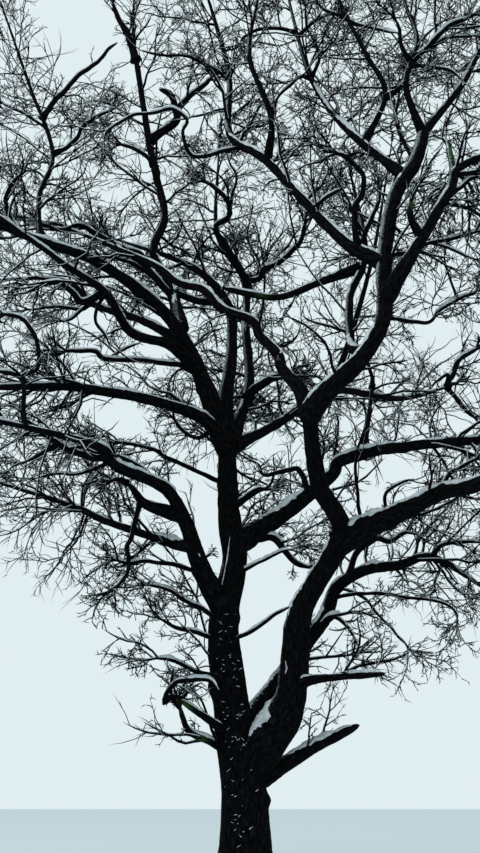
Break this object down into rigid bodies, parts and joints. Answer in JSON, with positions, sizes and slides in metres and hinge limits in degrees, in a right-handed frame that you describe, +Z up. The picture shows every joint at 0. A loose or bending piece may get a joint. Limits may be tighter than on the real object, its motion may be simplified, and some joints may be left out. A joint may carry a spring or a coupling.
{
  "type": "winter tree",
  "caption": "Bare old oak in winter with a leaning trunk, a second stem, spreading crooked boughs and masses of leafless twigs",
  "frame": {"origin": "middle of the flat cut under the trunk, at ground level", "axes": "+Z up along the tree's height, +X to the right of the picture, +Y away from the camera"},
  "size_m": [18.2204, 16.1454, 22.9482],
  "materials": {
    "bark": "rough, deeply furrowed, nearly black winter bark with snow on its upper and left sides",
    "twigs": "dull dark twig bark under a line of snow"
  },
  "bodies": {
    "root": {"trunk": "bark", "right_stem": "bark", "left_leader": "bark", "left_rear_leader": "bark", "left_front_bough": "bark", "left_rear_bough": "bark", "centre_leader": "bark", "centre_right_leader": "bark", "rear_cross_bough": "bark", "rear_right_leader": "bark", "rear_bough": "bark", "left_mid_bough": "bark", "left_low_stem": "bark", "low_stem_fork": "bark", "left_lowest_bough": "bark", "left_tall_limb": "bark", "right_leader": "bark", "left_fork_bough": "bark", "knob_limb": "bark", "right_fork_bough": "bark", "top_left_limb": "bark", "top_mid_limb": "bark", "top_limb": "bark", "top_right_limb": "bark", "front_cross_limb": "bark", "inner_upright_limb": "bark", "inner_side_limb": "bark", "big_right_bough": "bark", "right_mid_bough": "bark", "mid_right_riser": "bark", "rear_stem": "bark", "low_right_stub": "bark", "low_right_branch": "bark", "low_left_stub": "bark", "twigs_left_leader": "twigs", "twigs_left_rear_leader": "twigs", "twigs_left_front_bough": "twigs", "twigs_left_rear_bough": "twigs", "twigs_centre_leader": "twigs", "twigs_centre_right_leader": "twigs", "twigs_rear_cross_bough": "twigs", "twigs_rear_right_leader": "twigs", "twigs_rear_bough": "twigs", "twigs_left_mid_bough": "twigs", "twigs_left_low_stem": "twigs", "twigs_left_lowest_bough": "twigs", "twigs_left_tall_limb": "twigs", "twigs_left_fork_bough": "twigs", "twigs_knob_limb": "twigs", "twigs_right_fork_bough": "twigs", "twigs_top_left_limb": "twigs", "twigs_top_mid_limb": "twigs", "twigs_top_limb": "twigs", "twigs_top_right_limb": "twigs", "twigs_front_cross_limb": "twigs", "twigs_inner_upright_limb": "twigs", "twigs_big_right_bough": "twigs", "twigs_right_mid_bough": "twigs", "twigs_rear_stem": "twigs"}
  },
  "joints": []
}
